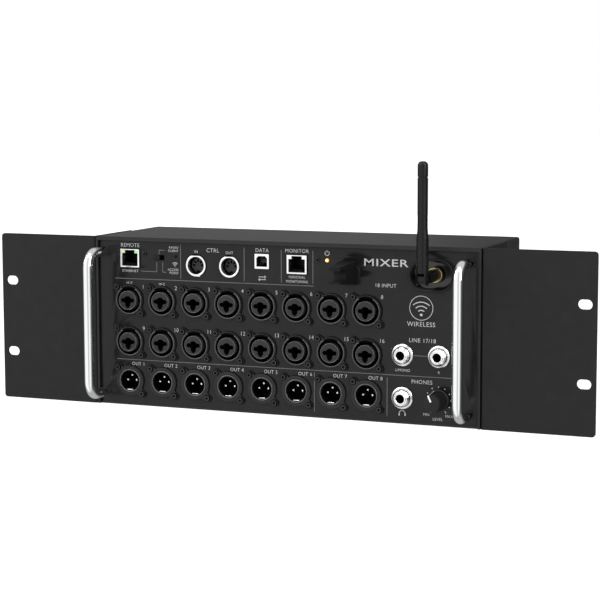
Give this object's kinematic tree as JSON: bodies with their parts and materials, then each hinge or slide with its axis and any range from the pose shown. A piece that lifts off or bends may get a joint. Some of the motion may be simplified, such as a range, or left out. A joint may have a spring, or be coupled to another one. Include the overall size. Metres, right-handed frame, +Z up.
{
  "type": "rack-mount wireless receiver unit",
  "caption": "Rack-mount digital mixer and wireless receiver with rows of audio sockets, slotted ears, bar handles and a folding antenna.",
  "frame": {"origin": "centre of the four rack slots, on the front face of the ears", "axes": "+X to the right seen from the front, +Y into the unit (the front faces -Y), +Z up"},
  "size_m": [0.4826, 0.1421, 0.1952],
  "materials": {
    "body_steel": "semi-gloss powder coat",
    "cover_paint": "semi-gloss powder coat",
    "panel_paint": "semi-gloss powder coat",
    "ear_paint": "semi-gloss powder coat",
    "black_screw": "black zinc",
    "chrome_bar": "polished",
    "zinc_steel": "bright zinc",
    "socket_black": "fine texture",
    "silver_contact": "silver plated",
    "port_metal": "bright nickel",
    "port_black": "satin",
    "port_lamp": "translucent light guide",
    "lever_grey": "satin",
    "status_lens": "dark lens, unlit",
    "amber_lens": "lit lens",
    "jack_plastic": "satin",
    "chrome_nut": "polished",
    "knob_black": "satin",
    "pointer_white": "satin",
    "pot_steel": "bare",
    "cup_black": "semi-gloss",
    "gold_plate": "gold plated",
    "antenna_black": "soft satin",
    "clip_black": "satin",
    "lead_black": "matte",
    "circuit_board": "solder mask",
    "rocker_black": "satin",
    "standoff_brass": "turned"
  },
  "bodies": {
    "chassis": {"chassis_base": "body_steel", "top_cover": "cover_paint", "rear_panel": "body_steel", "front_panel": "panel_paint", "ear_left": "ear_paint", "ear_right": "ear_paint", "ear_screws": "black_screw", "cover_screws": "black_screw", "handle_left": "chrome_bar", "handle_right": "chrome_bar", "handle_bolts": "zinc_steel", "input_shells": "socket_black", "input_inserts": "socket_black", "output_shells": "socket_black", "output_pins": "silver_contact", "output_ground_tabs": "silver_contact", "connector_screws": "black_screw", "remote_port_shell": "port_metal", "remote_port_body": "port_black", "remote_port_lamps": "port_lamp", "monitor_port_shell": "port_metal", "monitor_port_body": "port_black", "din_in_shell": "port_metal", "din_in_insert": "port_black", "din_out_shell": "port_metal", "din_out_insert": "port_black", "usb_shell": "port_metal", "usb_tongue": "port_black", "mode_switch_body": "port_black", "status_lamp": "status_lens", "power_lamp": "amber_lens", "panel_screws": "black_screw", "line_jack_left": "jack_plastic", "line_jack_right": "jack_plastic", "phones_jack": "jack_plastic", "jack_nuts": "chrome_nut", "level_pot": "pot_steel", "level_nut": "zinc_steel", "antenna_cup": "cup_black", "antenna_connector": "gold_plate", "antenna_nut": "gold_plate", "antenna_clip": "clip_black", "antenna_lead": "lead_black", "wireless_module": "circuit_board", "mains_inlet": "port_black", "inlet_blades": "silver_contact", "power_switch_frame": "port_black", "socket_boards": "circuit_board", "main_board": "circuit_board", "power_supply_board": "circuit_board", "board_standoffs": "standoff_brass"},
    "antenna_base": {"antenna_coupling": "gold_plate", "antenna_collar": "antenna_black", "antenna_pin": "zinc_steel"},
    "antenna": {"antenna_whip": "antenna_black"},
    "level_control": {"level_knob": "knob_black", "knob_pointer": "pointer_white", "level_shaft": "zinc_steel"},
    "mode_lever": {"mode_switch_lever": "lever_grey"},
    "power_switch": {"power_rocker": "rocker_black"}
  },
  "joints": [
    {"name": "antenna_swivel", "type": "hinge", "parent": "chassis", "child": "antenna_base", "pos_m": [0.1196, 0, 0.0448], "axis": [0, -1, 0], "range_deg": [-50, 72]},
    {"name": "antenna_tilt", "type": "hinge", "parent": "antenna_base", "child": "antenna", "pos_m": [0.1196, -0.0235, 0.0448], "axis": [1, 0, 0], "range_deg": [0, 90]},
    {"name": "level_turn", "type": "hinge", "parent": "chassis", "child": "level_control", "pos_m": [0.1243, 0, -0.04685], "axis": [0, -1, 0], "range_deg": [-173, 123]},
    {"name": "mode_slide", "type": "slide", "parent": "chassis", "child": "mode_lever", "axis": [1, 0, 0], "range_m": [0, 0.004]},
    {"name": "power_rock", "type": "hinge", "parent": "chassis", "child": "power_switch", "pos_m": [0.076, 0.103, -0.038], "axis": [1, 0, 0], "range_deg": [-16, 0]}
  ]
}
